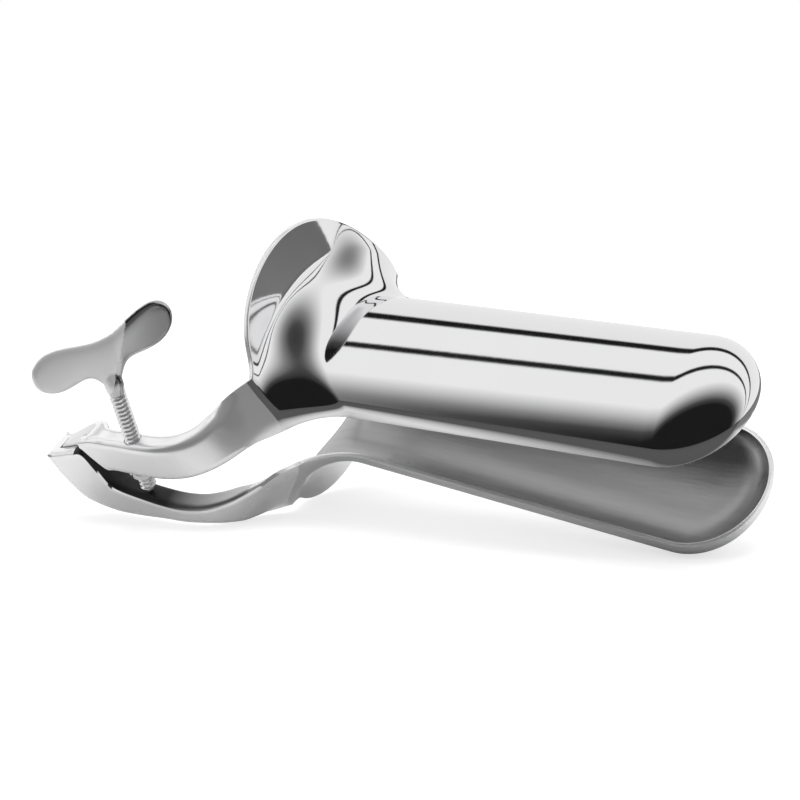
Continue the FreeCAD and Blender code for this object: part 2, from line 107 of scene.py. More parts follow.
class Shader:
    def __init__(self, tree):
        self.tree = tree

    def axes(self, source):
        node = self.tree.nodes.new("ShaderNodeSeparateXYZ")
        self.tree.links.new(source.link, node.inputs[0])
        return [Socket(self.tree, node.outputs[k]) for k in range(3)]

    def rays(self, *names):
        node = self.tree.nodes.new("ShaderNodeLightPath")
        return [Socket(self.tree, node.outputs[name]) for name in names]

    def add(self, kind, settings=None, output=0, **sockets):
        node = self.tree.nodes.new("ShaderNode" + kind)
        for name, value in (settings or {}).items():
            if name == "stops":
                ramp = node.color_ramp
                while len(ramp.elements) < len(value):
                    ramp.elements.new(0.5)
                for element, (position, level) in zip(ramp.elements, value):
                    element.position = position
                    element.color = grey(level)
            else:
                setattr(node, name, value)
        for name, value in sockets.items():
            numbered = name[0] == "i" and name[1:].isdigit()      # i0, i1 and so on are sockets by number
            feed(self.tree, node.inputs[int(name[1:]) if numbered else name.replace("_", " ")], value)
        return Socket(self.tree, node.outputs[output])


def grey(level):
    return (level, level, level, 1)


def emptyMaterial(name):
    material = bpy.data.materials.new(name)
    material.use_nodes = True
    tree = material.node_tree
    tree.nodes.clear()
    out = tree.nodes.new("ShaderNodeOutputMaterial")
    return material, Shader(tree), out


# Steel finishes, and steel with painted shade: metal is below 1 where full metal came out darker than the photo

mirrorLook = {"colour": 0.86, "rough": 0.045, "metal": 1.0, "smear": 0.03, "tint": 0.05, "size": 90.0}
rimLook = {"colour": 0.92, "rough": 0.22, "metal": 0.8, "smear": 0.03, "tint": 0.05, "size": 300.0}
wingLook = {"colour": 0.93, "rough": 0.3, "metal": 0.42, "smear": 0.08, "tint": 0.08, "size": 260.0}
# darker, shinier copy of the wing steel for the wing past its crease: the lower roughness is a finish, the
# darker colour is painted shade
shadedLobeLook = {"colour": 0.62, "rough": 0.16, "metal": 1.0, "smear": 0.08, "tint": 0.1, "size": 260.0}
softLook = {"colour": 0.93, "rough": 0.2, "metal": 0.72, "smear": 0.05, "tint": 0.06, "size": 300.0}
# near-black painted shade for the walls of the fork's slot and the top of the lower arm
paintedShadeLook = {"colour": 0.05, "rough": 0.45, "metal": 1.0, "smear": 0.1, "tint": 0.02, "size": 500.0}
satinLook = {"colour": 0.43, "rough": 0.3, "metal": 1.0, "smear": 0.12, "tint": 0.16, "size": 1500.0}
smoothWave, brushedWave = 0.02, 0.06        # strength of the bump
objectPlace = 3         # the Object output of Texture Coordinate
grain = {"hazeShare": 0.35, "blue": 1.01, "bumpDepth": 0.0004}
brushed = (0.03, 1, 1)  # streaks along the blade
even = (1, 1, 1)


def steel(name, look, stretch=even, wave=smoothWave):
    material, shader, out = emptyMaterial(name)
    place = shader.add("TexCoord", output=objectPlace)
    wide = shader.add("Mapping", Vector=place, Scale=stretch)
    cloud = shader.add("TexNoise", Vector=wide, Scale=look["size"], Detail=4.0, Roughness=0.6)
    haze = shader.add("TexNoise", Vector=wide, Scale=look["size"] * grain["hazeShare"], Detail=3.0)
    rough = look["rough"] + (haze - 0.5) * look["smear"]
    tone = look["colour"] + (haze - 0.5) * look["tint"]
    colour = shader.add("CombineColor", Red=tone, Green=tone, Blue=tone * grain["blue"])
    bump = shader.add("Bump", Height=cloud, Strength=wave, Distance=grain["bumpDepth"])
    surface = shader.add("BsdfPrincipled", Base_Color=colour, Metallic=look["metal"],
                         Roughness=rough, Normal=bump)
    shader.tree.links.new(surface.link, out.inputs["Surface"])
    return material


def fadeAlong(material, start, end, colour):
    # lets the painted shade run out into bare steel between two world x values
    shader = Shader(material.node_tree)
    surface = [node for node in material.node_tree.nodes if node.type == "BSDF_PRINCIPLED"][0]
    x = shader.axes(shader.add("TexCoord", output=objectPlace))[0]
    share = shader.add("MapRange", {"clamp": True}, Value=x, From_Min=start, From_Max=end)
    dark = Socket(shader.tree, surface.inputs["Base Color"].links[0].from_socket)
    mixed = shader.add("MixRGB", {"blend_type": "MIX"}, Fac=share, Color1=dark, Color2=grey(colour))
    shader.tree.links.new(mixed.link, surface.inputs["Base Color"])


mirrorSteel = steel("mirror steel", mirrorLook)
satinSteel = steel("satin steel", satinLook, brushed, brushedWave)
paintedShadeSteel = steel("painted shade steel", paintedShadeLook)
shadedLobeSteel = steel("shaded wing lobe steel", shadedLobeLook)
softSteel = steel("soft steel", softLook)
rimSteel = steel("rim steel", rimLook)
wingSteel = steel("wing steel", wingLook)
shadeFade = (-17.0, 1.0)     # valve x where the painted shade starts and ends its fade
fadeFrom, fadeTo = [(lowerPlace @ Vector((x, 0, 0))).x for x in shadeFade]
fadeAlong(paintedShadeSteel, fadeFrom, fadeTo, softLook["colour"])
print("steel finishes made")


# Valve sheet: tip, trough and mouth flange in one skin

valve = {
    "reach": 97.93, "halfWidth": 17.5, "depth": 8.8, "wall": 1.0, "tipLength": 13.0, "bladeStart": 21.0,
    "crownRadius": 10.0, "crownStart": 10.5, "crownTilt": 85.0,
    "rimRadius": 14.5, "rimStart": 19.5, "rimTilt": 67.0,
    "lobeHalfWidth": 25.29, "lobeHeight": 27.6, "lobeOffset": 1.5, "lobeCorner": 9.0,
    "armRootY": 23.0, "nearColumns": 26, "farColumns": 78,
    "tipRows": 26, "troughRows": 30, "flangeRows": 64, "edgeRound": 0.22, "roundPast": 50.0, "sharpPast": 38.0,
}
finish = {"mirror": 0, "satin": 1, "rim": 2, "soft": 3, "slot": 4}      # material slots of a valve; slot 4 is the painted shade steel


def bendAt(angle):
    mix = math.cos(angle) ** 4
    radius = valve["crownRadius"] + (valve["rimRadius"] - valve["crownRadius"]) * mix
    start = valve["crownStart"] + (valve["rimStart"] - valve["crownStart"]) * mix
    tilt = math.radians(valve["crownTilt"] + (valve["rimTilt"] - valve["crownTilt"]) * mix)
    return radius, start, tilt


def flangePoint(angle, along):
    side = math.cos(angle)
    drop = math.sin(angle)
    radius, start, tilt = bendAt(angle)
    grow = along - (valve["bladeStart"] - start)
    if grow < 0:
        x = start - grow
        out = 0.0
    elif grow < radius * tilt:
        turn = grow / radius
        x = start - radius * math.sin(turn)
        out = radius * (1 - math.cos(turn))
    else:
        extra = grow - radius * tilt
        x = start - radius * math.sin(tilt) - extra * math.cos(tilt)
        out = radius * (1 - math.cos(tilt)) + extra * math.sin(tilt)
    normal = Vector((0, side * valve["depth"], -drop * valve["halfWidth"])).normalized()
    return Vector((x, side * valve["halfWidth"] + normal.y * out, -drop * valve["depth"] + normal.z * out))


def flangeNormal(angle, along):
    step = 0.01
    around = flangePoint(angle + step, along) - flangePoint(angle - step, along)
    ahead = flangePoint(angle, along + step) - flangePoint(angle, along - step)
    normal = ahead.cross(around).normalized()
    outward = Vector((1, math.cos(angle), -math.sin(angle)))
    return normal if normal.dot(outward) > 0 else -normal


layout = {}     # what layOut works out for the valve being made


def lobeArc():
    # hollow corner between the lobe's ellipse and the arm: its centre and where it touches the ellipse
    wide, high, corner = valve["lobeHalfWidth"], valve["lobeHeight"], valve["lobeCorner"]
    collar = Vector((-valve["armRootY"], layout["rootHeight"]))
    low, top = 0.3, 1.4
    for step in range(50):
        turn = 0.5 * (low + top)
        touch = Vector((valve["lobeOffset"] - wide * math.cos(turn), high * math.sin(turn)))
        normal = Vector((-high * math.cos(turn), wide * math.sin(turn))).normalized()
        centre = touch + normal * corner
        if (centre - collar).length < corner:
            low = turn
        else:
            top = turn
    return centre, touch


def beyondOutline(point):
    height = -point.z
    if point.y < -valve["armRootY"]:
        return True
    if point.y > layout["touch"].x:
        share = (point.y - valve["lobeOffset"]) / valve["lobeHalfWidth"]
        return share > 1 or height > valve["lobeHeight"] * math.sqrt(max(0, 1 - share * share))
    if height < layout["rootHeight"]:
        return False
    inCorner = (Vector((point.y, height)) - layout["centre"]).length < valve["lobeCorner"]
    return inCorner or height > layout["touch"].y


def flangeEnd(angle):
    low, top = 0.0, 60.0
    for step in range(40):
        middle = 0.5 * (low + top)
        if beyondOutline(flangePoint(angle, middle)):
            top = middle
        else:
            low = middle
    return low


def collarAngle():
    # the column that runs into the corner where the arm's top meets the lobe's hollow corner
    low, top = 0.5 * math.pi, math.pi
    for step in range(40):
        middle = 0.5 * (low + top)
        end = flangePoint(middle, flangeEnd(middle))
        if end.y > -valve["armRootY"] + 0.001:
            low = middle
        else:
            top = middle
    return top


def layOut(rootHeight):
    # angles of the columns and where each one ends on the outline, for one valve
    layout["rootHeight"] = rootHeight
    layout["centre"], layout["touch"] = lobeArc()
    split = collarAngle()
    near, far = valve["nearColumns"], valve["farColumns"]
    angles = [math.pi - (math.pi - split) * k / near for k in range(near)]
    angles += [split * (1 - k / far) for k in range(far + 1)]
    layout["angles"] = angles
    layout["ends"] = [flangeEnd(angle) for angle in angles]


def sheetPoint(column, row, inset):
    angle = layout["angles"][column]
    side = math.cos(angle) * (valve["halfWidth"] - inset)
    drop = -math.sin(angle) * (valve["depth"] - inset)
    tipStart = valve["reach"] - valve["tipLength"]
    if row <= valve["tipRows"]:
        share = 0.5 * math.pi * row / valve["tipRows"]
        return Vector((tipStart + (valve["tipLength"] - inset) * math.cos(share),
                       side * math.sin(share), drop * math.sin(share)))
    row -= valve["tipRows"]
    if row <= valve["troughRows"]:
        x = tipStart + (valve["bladeStart"] - tipStart) * row / valve["troughRows"]
        return Vector((x, side, drop))
    along = layout["ends"][column] * (row - valve["troughRows"]) / valve["flangeRows"]
    point = flangePoint(angle, along)
    normal = flangeNormal(angle, along)
    if column in (0, len(layout["angles"]) - 1):
        flat = Vector((normal.x, normal.y, 0))
        point = point - flat * (inset / flat.dot(flat))
        point.z = 0.0
    else:
        point = point - normal * inset
    onRoot = abs(flangePoint(angle, layout["ends"][column]).y + valve["armRootY"]) < 0.01
    if onRoot and row == valve["troughRows"] + valve["flangeRows"]:
        # on the arm's root plane the inner skin ends on the same plane
        shift = -valve["armRootY"] - point.y
        slope = flangePoint(angle, along) - flangePoint(angle, along - 0.2)
        point = point + slope * (shift / slope.y)
        if column == 0:
            point.z = 0.0
    return point


def layGrid(bm, inset):
    columns = len(layout["angles"]) - 1
    rows = valve["tipRows"] + valve["troughRows"] + valve["flangeRows"]
    made = bmesh.ops.create_grid(bm, x_segments=columns, y_segments=rows, size=0.5)["verts"]
    for vert in made:
        column = round((vert.co.x + 0.5) * columns)
        row = round((vert.co.y + 0.5) * rows)
        vert.co = sheetPoint(column, row, inset)
    bmesh.ops.remove_doubles(bm, verts=[v for v in made if v.is_valid], dist=0.0005)


def smoothStep(share):
    share = min(max(share, 0.0), 1.0)
    return share * share * (3 - 2 * share)


def between(knots, values, at):
    # smooth curve through the values
    k = 0
    while k < len(knots) - 2 and at > knots[k + 1]:
        k += 1
    span = knots[k + 1] - knots[k]
    slopes = []
    for j in (k, k + 1):
        low, high = max(j - 1, 0), min(j + 1, len(knots) - 1)
        slopes.append((values[high] - values[low]) / (knots[high] - knots[low]))
    f = (at - knots[k]) / span
    return ((2 * f ** 3 - 3 * f ** 2 + 1) * values[k] + (f ** 3 - 2 * f ** 2 + f) * span * slopes[0]
            + (3 * f ** 2 - 2 * f ** 3) * values[k + 1] + (f ** 3 - f ** 2) * span * slopes[1])


def roundBar(share, width, low, high, radius):
    # point at a share of the way round a bar's section: down the outer face, under, up the inner face and back
    radius = min(radius, 0.48 * width, 0.48 * (high - low))
    flatA, flatB = high - low - 2 * radius, width - 2 * radius
    arc = 0.5 * math.pi * radius
    total = 2 * (flatA + flatB) + 4 * arc
    at = (share % 1.0) * total
    pieces = [("line", (0, high - radius), (0, -1), flatA),
              ("arc", (radius, low + radius), math.pi, arc),
              ("line", (radius, low), (1, 0), flatB),
              ("arc", (width - radius, low + radius), 1.5 * math.pi, arc),
              ("line", (width, low + radius), (0, 1), flatA),
              ("arc", (width - radius, high - radius), 0.0, arc),
              ("line", (width - radius, high), (-1, 0), flatB),
              ("arc", (radius, high - radius), 0.5 * math.pi, arc)]
    for kind, spot, way, length in pieces:
        if at <= length:
            break
        at -= length
    if kind == "line":
        return spot[0] + way[0] * at, spot[1] + way[1] * at
    turn = way + at / max(radius, 1e-6)
    return spot[0] + radius * math.cos(turn), spot[1] + radius * math.sin(turn)


armLine = -43.5     # y of both arms' outer faces, from the screw to the hinge
armPath = [(4.4, -28.4), (2.0, -33.8), (-0.7, -38.2), (-4.4, -41.4), (-9.0, -43.0),
           (-14.0, armLine), (-20.0, armLine)]
lowerArm = {
    "rootHeight": 14.3,
    "path": armPath + [(x, armLine) for x in (-24.6, -26.9, -29.3, -31.7, -34.7, -38.0, -40.0, -41.18)],
    "width": [2.3, 3.4, 4.4, 5.0, 5.2, 5.2, 5.2, 5.3, 6.4, 7.6, 7.6, 7.6, 7.6, 7.6, 7.6],
    "low": [-13.4, -10.8, -7.9, -5.5, -4.9, -5.3, -6.6, -7.4, -7.6, -7.5, -7.2, -6.2, -2.6, 0.6, 4.0],
    "high": [0.0, 0.0, 0.0, 0.0, 0.0, 0.0, 0.0, 0.35, 1.3, 4.8, 8.0, 7.1, 5.6, 4.7, 4.2],
    "lean": [0.28, 0.26, 0.2, 0.08, 0, 0, 0, 0, 0, 0, 0, 0, 0, 0, 0],
    "radius": 1.5, "stations": 130, "settle": 15.0,
}
upperArm = {
    "rootHeight": 12.2,
    "path": armPath + [(x, armLine) for x in (-22.6, -24.6, -27.1, -29.3)],
    "width": [2.3, 3.4, 4.4, 5.0, 5.2, 5.2, 5.2, 5.2, 5.4, 7.4, 7.6],
    "low": [-10.8, -9.5, -8.9, -8.8, -8.6, -8.5, -8.4, -8.3, -8.3, -8.0, -7.2],
    "high": [0.0, 0.0, 0.0, 0.0, 0.0, 0.0, 0.0, 0.0, 0.2, -2.1, -4.8],
    "lean": [0.38, 0.3, 0.14, 0.03, 0, 0, 0, 0, 0, 0, 0],
    "radius": 1.5, "stations": 100, "settle": 15.0,
}
# darkFrom, darkTo and facingUp: where the painted shade covers the lower arm's top
fork = {"width": 7.6, "slot": 3.24, "room": 4.82, "reach": 22.0, "start": 10.6, "slope": -20.0,
        "sweep": (20, 40, 60, 80, 100, 118), "darkFrom": -34.0, "darkTo": 1.0, "facingUp": 0.45}
tongue = {"radius": 4.3, "width": 3.0, "hole": 1.66, "drill": 20.0, "from": 110.5, "to": 303.4, "steps": 30,
          "neck": [(1.67, 0.27), (1.84, 1.69), (1.12, 1.78)]}       # in tongue radii from the hinge
screw = {"x": -17.0, "inFromFace": 2.6, "tilt": 6.5, "crest": 1.7, "core": 1.33, "pitch": 1.05, "low": -4.4,
         "dome": 1.3, "top": 20.6, "hole": 1.8, "drill": 60.0, "steps": 28, "sharpPast": 50.0}
boss = {"radius": 2.55, "height": 0.7, "inside": 0.5, "chamfer": 0.15}


def asObject(bm, name):
    mesh = bpy.data.meshes.new(name)
    bm.to_mesh(mesh)
    bm.free()
    for slot in finish:
        mesh.materials.append(None)     # empty slots, so that a cut keeps each face's slot number
    made = bpy.data.objects.new(name, mesh)
    scene.collection.objects.link(made)
    return made


def withModifier(bm, kind, settings, tool=None):
    # the piece after one modifier, as new geometry
    target = asObject(bm, "target")
    modifier = target.modifiers.new("shape", kind)
    for name, value in settings.items():
        setattr(modifier, name, value)
    helper = asObject(tool, "tool") if tool else None
    if helper:
        modifier.object = helper
    result = bmesh.new()
    result.from_object(target, bpy.context.evaluated_depsgraph_get())
    for used in (target, helper):
        if used:
            mesh = used.data
            bpy.data.objects.remove(used)
            bpy.data.meshes.remove(mesh)
    return result


def cutAway(bm, tool):
    return withModifier(bm, "BOOLEAN", {"operation": "DIFFERENCE", "solver": "EXACT"}, tool)


def extrudeOutline(bm, points, start, width):
    # a side-view outline (x, z) given a width across
    verts = [bm.verts.new((x, start, z)) for x, z in points]
    face = bm.faces.new(verts)
    grown = bmesh.ops.extrude_face_region(bm, geom=[face])["geom"]
    bmesh.ops.translate(bm, verts=[g for g in grown if isinstance(g, bmesh.types.BMVert)], vec=(0, width, 0))
    bmesh.ops.recalc_face_normals(bm, faces=bm.faces)


def addRod(bm, radius, length, place, segments=48):
    bmesh.ops.create_cone(bm, cap_ends=True, segments=segments, radius1=radius, radius2=radius, depth=length,
                          matrix=place)


alongY = Matrix.Rotation(math.radians(90), 4, "X")
screwFoot = Matrix.Translation((screw["x"], armLine + screw["inFromFace"], 0))
screwPlace = screwFoot @ Matrix.Rotation(math.radians(screw["tilt"]), 4, "Y")


def paint(faces, kind):
    for face in faces:
        face.material_index = finish[kind]


def aroundHinge(reach, degrees):
    turn = math.radians(degrees)
    return lowerHinge.x + reach * math.cos(turn), lowerHinge.z + reach * math.sin(turn)


def forkRoom():
    # wedge between the cheeks that the tongue swings in
    bm = bmesh.new()
    points = [(lowerHinge.x, lowerHinge.z), aroundHinge(fork["start"], fork["slope"])]
    points += [aroundHinge(fork["reach"], degrees) for degrees in fork["sweep"]]
    extrudeOutline(bm, points, lowerHinge.y - fork["slot"] / 2, fork["slot"])
    # the slot's walls take the near-black painted shade
    paint(bm.faces, "slot")
    return bm


def forkRound():
    bm = bmesh.new()
    addRod(bm, fork["room"], fork["slot"], Matrix.Translation(lowerHinge) @ alongY, 72)
    # the round end of the slot takes the near-black painted shade
    paint(bm.faces, "slot")
    return bm


def screwHole():
    bm = bmesh.new()
    addRod(bm, screw["hole"], screw["drill"], turnOver @ screwPlace)
    bmesh.ops.recalc_face_normals(bm, faces=bm.faces)
    return bm


def addTongue(bm):
    points = []
    for step in range(tongue["steps"] + 1):
        turn = math.radians(tongue["from"] + (tongue["to"] - tongue["from"]) * step / tongue["steps"])
        points.append((math.cos(turn), math.sin(turn)))
    outline = [(upperHinge.x + a * tongue["radius"], -upperHinge.z - b * tongue["radius"])
               for a, b in points + tongue["neck"]]
    piece = bmesh.new()
    extrudeOutline(piece, outline, upperHinge.y - tongue["width"] / 2, tongue["width"])
    drill = bmesh.new()
    middle = Vector((upperHinge.x, upperHinge.y, -upperHinge.z))
    addRod(drill, tongue["hole"], tongue["drill"], Matrix.Translation(middle) @ alongY)
    take(bm, cutAway(piece, drill))


def take(bm, other):
    mesh = bpy.data.meshes.new("taken")
    other.to_mesh(mesh)
    other.free()
    bm.from_mesh(mesh)
    bpy.data.meshes.remove(mesh)


def lathe(profile, steps, place):
    # a closed turned body from its half profile (radius, height), both ends on the axis
    bm = bmesh.new()
    verts = [bm.verts.new((r, 0, z)) for r, z in profile]
    edges = [bm.edges.new(pair) for pair in zip(verts, verts[1:])]
    bmesh.ops.spin(bm, geom=verts + edges, cent=(0, 0, 0), axis=(0, 0, 1), dvec=(0, 0, 0), angle=2 * math.pi,
                   steps=steps, use_merge=True, use_duplicate=False)
    bmesh.ops.remove_doubles(bm, verts=bm.verts, dist=0.0005)
    bmesh.ops.recalc_face_normals(bm, faces=bm.faces)
    bmesh.ops.transform(bm, matrix=place, verts=bm.verts)
    return bm


def addBoss(bm):
    hole, r, deep = screw["hole"], boss["radius"], boss["height"]
    inside, chamfer = boss["inside"], boss["chamfer"]
    profile = [(hole, inside), (hole, -deep), (r - chamfer, -deep),
               (r, chamfer - deep), (r, inside), (hole, inside)]
    take(bm, lathe(profile, 48, turnOver @ screwPlace))


def openRoot(bm):
    # takes away the strip of edge faces on the arm's root plane and returns the loop that is left
    root = -valve["armRootY"]
    strip = [f for f in bm.faces if all(abs(v.co.y - root) < 0.004 for v in f.verts)]
    bmesh.ops.delete(bm, geom=strip, context="FACES")
    return [e for e in bm.edges if e.is_boundary]


def ordered(edges):
    # walks the loop from its topmost outer corner down the outer skin
    verts = {v for e in edges for v in e.verts}
    first = max(verts, key=lambda v: (round(v.co.z, 2), v.co.x))
    links = {v: [e.other_vert(v) for e in v.link_edges if e in edges] for v in verts}
    second = min(links[first], key=lambda v: v.co.z)
    loop = [first, second]
    while len(loop) < len(verts):
        step = [v for v in links[loop[-1]] if v is not loop[-2]][0]
        loop.append(step)
    return loop


def growArm(bm, arm):
    edges = set(openRoot(bm))
    loop = ordered(edges)
    start = loop[0].co.copy()
    points = [(start.x, start.y)] + arm["path"]
    knots = [0.0]
    for a, b in zip(points, points[1:]):
        knots.append(knots[-1] + math.hypot(b[0] - a[0], b[1] - a[1]))
    bottom = min(v.co.z for v in loop)
    columns = [[p[0] for p in points], [p[1] for p in points], [valve["wall"] * 1.5] + arm["width"],
               [bottom] + arm["low"], [0.0] + arm["high"], [arm["lean"][0]] + arm["lean"]]

    def spotAt(at):
        return Vector((between(knots, columns[0], at), between(knots, columns[1], at), 0))

    def frameAt(at):
        before, after = max(at - 0.05, 0.0), min(at + 0.05, knots[-1])
        heading = (spotAt(after) - spotAt(before)).normalized()
        inward = Vector((heading.y, -heading.x, 0))
        return spotAt(at), heading, inward

    base, heading, inward = frameAt(0.0)
    local = [((v.co - base).dot(inward), (v.co - base).dot(heading), v.co.z) for v in loop]
    lengths = [0.0]
    ring = loop + loop[:1]
    for a, b in zip(ring, ring[1:]):
        lengths.append(lengths[-1] + (b.co - a.co).length)
    shares = [length / lengths[-1] for length in lengths[:-1]]
    count = len(loop)
    current = list(edges)
    verts = loop
    for station in range(1, arm["stations"] + 1):
        at = knots[-1] * station / arm["stations"]
        grown = bmesh.ops.extrude_edge_only(bm, edges=current)["geom"]
        current = [g for g in grown if isinstance(g, bmesh.types.BMEdge) and g.is_boundary]
        fresh = {g for g in grown if isinstance(g, bmesh.types.BMVert)}
        follow = []
        for vert in verts:
            follow.append([e.other_vert(vert) for e in vert.link_edges if e.other_vert(vert) in fresh][0])
        base, heading, inward = frameAt(at)
        width, low, high, lean = [between(knots, column, at) for column in columns[2:]]
        settle = smoothStep(at / arm["settle"])
        for k, vert in enumerate(follow):
            spread = shares[k] + (k / count - shares[k]) * smoothStep(at / (arm["settle"] * 1.6))
            across, height = roundBar(spread, width, low, high, arm["radius"])
            across += lean * abs(height)
            a, b, z = local[k]
            stretched = z * (low / bottom) if bottom else z
            out, ahead = a + (across - a) * settle, b * (1 - settle)
            up = Vector((0, 0, stretched + (height - stretched) * settle))
            vert.co = base + inward * out + heading * ahead + up
        verts = follow
    bmesh.ops.contextual_create(bm, geom=current)


def markSharp(bm, degrees):
    limit = math.radians(degrees)
    for face in bm.faces:
        face.smooth = True
    for edge in bm.edges:
        if len(edge.link_faces) == 2 and edge.calc_face_angle(0) > limit:
            edge.smooth = False


def finishPiece(bm, name, place, body, materials, replaced):
    bmesh.ops.transform(bm, matrix=place, verts=bm.verts)
    bmesh.ops.recalc_face_normals(bm, faces=bm.faces)
    mesh = bpy.data.meshes.new(name)
    bm.to_mesh(mesh)
    bm.free()
    for material in materials:
        mesh.materials.append(material)
    piece = bpy.data.objects.new(name, mesh)
    scene.collection.objects.link(piece)
    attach(piece, body)
    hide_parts(*replaced)
    print("made", name, len(mesh.polygons), "faces")


def shadeTrough(bm):
    # painted shade on top of the lower arm, from the fork to where its fade ends past the screw
    for face in bm.faces:
        inReach = fork["darkFrom"] < face.calc_center_median().x < fork["darkTo"]
        if inReach and face.material_index == finish["soft"] and face.normal.z > fork["facingUp"]:
            face.material_index = finish["slot"]


def makeValve(name, arm, place, body, replaced):
    layOut(arm["rootHeight"])
    bm = bmesh.new()
    layGrid(bm, 0.0)
    outside = set(bm.faces)
    layGrid(bm, valve["wall"])
    paint([f for f in bm.faces if f in outside], "mirror")
    paint([f for f in bm.faces if f not in outside], "satin")
    border = [e for e in bm.edges if e.is_boundary]
    paint(bmesh.ops.bridge_loops(bm, edges=border)["faces"], "rim")
    growArm(bm, arm)
    bmesh.ops.recalc_face_normals(bm, faces=bm.faces)
    root = -valve["armRootY"]
    paint([f for f in bm.faces if f.calc_center_median().y < root - valve["wall"]], "soft")
    limit = math.radians(valve["roundPast"])
    sharp = [e for e in bm.edges if len(e.link_faces) == 2 and e.calc_face_angle(0) > limit
             and min(v.co.y for v in e.verts) > root - 0.01]
    bmesh.ops.bevel(bm, geom=sharp, offset=valve["edgeRound"], offset_type="OFFSET", segments=2, profile=0.5,
                    affect="EDGES", material=-1, clamp_overlap=True)
    if name == "lowerValve":
        shadeTrough(bm)
        bm = cutAway(cutAway(bm, forkRoom()), forkRound())
    else:
        bm = cutAway(bm, screwHole())
        addTongue(bm)
        addBoss(bm)
    markSharp(bm, valve["sharpPast"])
    finishPiece(bm, name, place, body, [mirrorSteel, satinSteel, rimSteel, softSteel, paintedShadeSteel], replaced)


makeValve("lowerValve", lowerArm, lowerPlace, "lower_valve", ["lower_blade", "lower_flange", "lower_arm"])
makeValve("upperValve", upperArm, upperPlace @ turnOver, "upper_valve",
          ["upper_blade", "upper_flange", "upper_arm"])


# Hinge pin, just inside the cheeks' outer faces

pin = {"radius": 1.6, "shorter": 0.3}


def makePin():
    bm = bmesh.new()
    middle = Vector((lowerHinge.x, armLine + fork["width"] / 2, lowerHinge.z))
    addRod(bm, pin["radius"], fork["width"] - pin["shorter"], Matrix.Translation(middle) @ alongY)
    markSharp(bm, valve["sharpPast"])
    finishPiece(bm, "hingePin", lowerPlace, "lower_valve", [softSteel], ["hinge_pin"])


makePin()


# Screw: a helical ridge on a core, with a domed tip

def makeScrew():
    pitch, crest, core = screw["pitch"], screw["crest"], screw["core"]
    low, top = screw["low"], screw["top"]
    bm = bmesh.new()
    worn = crest - 0.05
    tooth = [(core, -0.5), (core, -0.30), (worn, -0.10), (crest, -0.04),
             (crest, 0.04), (worn, 0.10), (core, 0.30), (core, 0.5)]        # radius and share of the pitch
    verts = [bm.verts.new((r, 0, low - 1.5 * pitch + share * pitch)) for r, share in tooth]
    edges = [bm.edges.new(pair) for pair in zip(verts, verts[1:])]
    turns = math.ceil((top - low) / pitch) + 3
    steps = screw["steps"] * turns
    bmesh.ops.spin(bm, geom=verts + edges, cent=(0, 0, 0), axis=(0, 0, 1), dvec=(0, 0, turns * pitch / steps),
                   angle=2 * math.pi * turns, steps=steps, use_merge=False, use_duplicate=False)
    bmesh.ops.remove_doubles(bm, verts=bm.verts, dist=0.002)
    for height, way in ((low, -1), (top, 1)):
        everything = list(bm.verts) + list(bm.edges) + list(bm.faces)
        bmesh.ops.bisect_plane(bm, geom=everything, plane_co=(0, 0, height), plane_no=(0, 0, way),
                               clear_outer=True)
        rim = [e for e in bm.edges if e.is_boundary and all(abs(v.co.z - height) < 1e-4 for v in e.verts)]
        bmesh.ops.edgenet_fill(bm, edges=rim)
    bmesh.ops.recalc_face_normals(bm, faces=bm.faces)
    bmesh.ops.transform(bm, matrix=screwPlace, verts=bm.verts)
    dome = [(0, low + 0.3), (screw["dome"], low + 0.3)]
    for step in range(9):
        turn = math.pi / 2 * step / 8
        dome.append((screw["dome"] * math.cos(turn), low - screw["dome"] * math.sin(turn)))
    take(bm, lathe(dome, 36, screwPlace))
    markSharp(bm, screw["sharpPast"])
    finishPiece(bm, "screw", upperPlace, "screw_spindle", [softSteel], ["spread_screw"])


makeScrew()


# Thumb wings: one soft plate with a crease, blended into the neck

wings = {
    "centre": 10.8, "leftSpan": 9.4, "span": 11.1, "lobe": 5.0, "waist": 6.4, "webDeep": 6.6, "webWide": 2.6,
    "plate": 2.0, "thinning": 0.22, "edgeRun": 0.9, "flatFaces": 0.7, "flatEdges": 0.8,
    "crease": 2.5, "bend": 15.5, "azimuth": 54.0, "shadePast": 1.2, "shadeSlant": 0.55,
    "stations": 64, "ring": 36, "voxel": 0.24, "smoothings": 6,
    "neck": [(0, -10.7), (1.62, -10.7), (1.7, -9.8), (1.9, -8.6),
             (1.9, -7.4), (1.5, -6.0), (0.8, -4.8), (0, -4.2)],
}


def wingOutline(away, span):
    # top and bottom edge of a wing at a distance from the screw's axis
    r, half = wings["lobe"], wings["waist"] / 2
    if away > span:
        edge = math.sqrt(max(r * r - (away - span) ** 2, 0.0004))
        return edge, -edge
    share = smoothStep(away / span)
    web = wings["webDeep"] * math.exp(-(away / wings["webWide"]) ** 2)
    return half + (r - half) * share, -half + (half - r) * share - web


def wingRing(bm, share):
    # one closed ring of the plate's section, at a share of the way out from the screw's axis
    span = wings["span"] if share > 0 else wings["leftSpan"]
    reach = span + wings["lobe"]
    s = share * (reach - 0.004)
    top, bottom = wingOutline(abs(s), span)
    bulge = 1 - wings["thinning"] * min(abs(s) / reach, 1)
    ending = math.sqrt(max((reach - abs(s)) / wings["edgeRun"], 0.0)) + 0.05
    thick = wings["plate"] / 2 * bulge * min(1.0, ending)
    middle, half = 0.5 * (top + bottom), 0.5 * (top - bottom)
    bend = math.radians(wings["bend"])
    folded = max(s - wings["crease"], 0.0)
    ring = []
    for j in range(wings["ring"]):
        turn = 2 * math.pi * j / wings["ring"]
        a, b = math.cos(turn), math.sin(turn)
        across = math.copysign(abs(a) ** wings["flatFaces"], a) * thick
        height = middle + math.copysign(abs(b) ** wings["flatEdges"], b) * half
        spot = Vector((s - folded * (1 - math.cos(bend)), folded * math.sin(bend) + across, height))
        ring.append(bm.verts.new(spot))
    return ring


